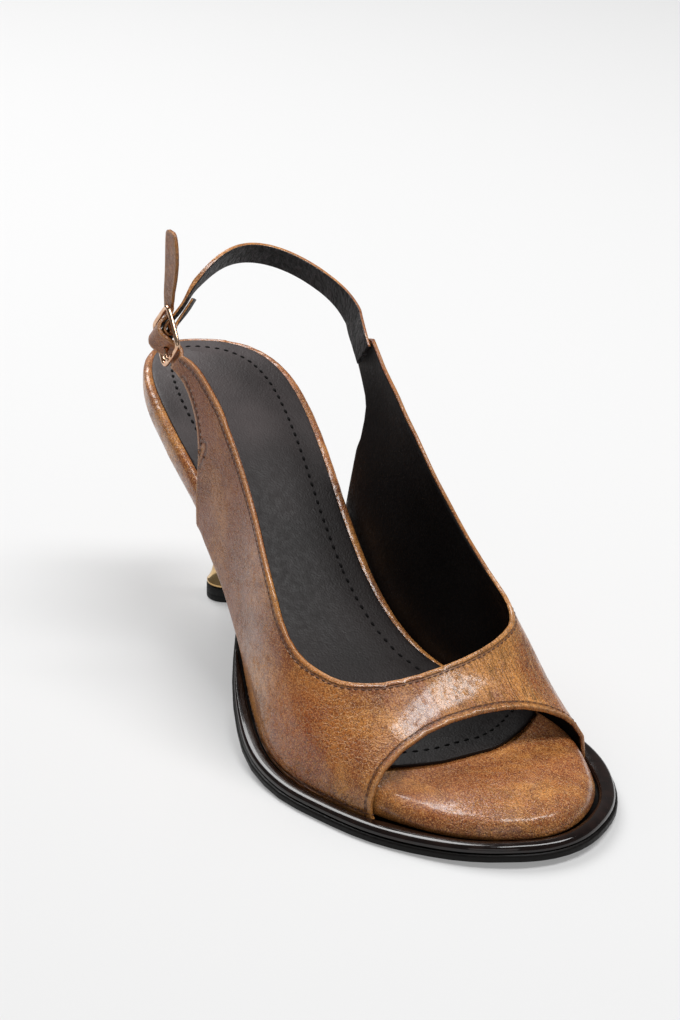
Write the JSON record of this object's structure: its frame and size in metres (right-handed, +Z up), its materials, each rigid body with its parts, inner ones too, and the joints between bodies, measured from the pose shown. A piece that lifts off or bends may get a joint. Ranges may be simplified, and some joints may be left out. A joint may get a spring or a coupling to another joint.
{
  "type": "slingback stiletto sandal",
  "caption": "Right slingback sandal in tan leather with an open toe, a buckled heel strap, a black sock and a thin painted heel with a pale gold collar.",
  "frame": {"origin": "centre of the heel tip's underside, on the floor", "axes": "+X from the heel to the toe along the floor, +Y towards the wearer's left, which is the inner side of this right foot, +Z up"},
  "size_m": [0.241, 0.0974, 0.1424],
  "materials": {
    "tan_leather": "glossy crackled",
    "sock": "satin",
    "sole_rubber": "satin",
    "welt_gloss": "gloss",
    "heel_paint": "satin lacquer",
    "gold": "polished pale gold",
    "rose_gold": "polished",
    "tip_rubber": "matte"
  },
  "bodies": {
    "root": {"footbed": "tan_leather", "insole": "sock", "outsole": "sole_rubber", "welt": "welt_gloss", "heel": "heel_paint", "ferrule": "gold", "heel_tip": "tip_rubber", "upper": "tan_leather", "sling_strap": "tan_leather", "buckle_frame": "rose_gold", "buckle_prong": "rose_gold"}
  },
  "joints": []
}
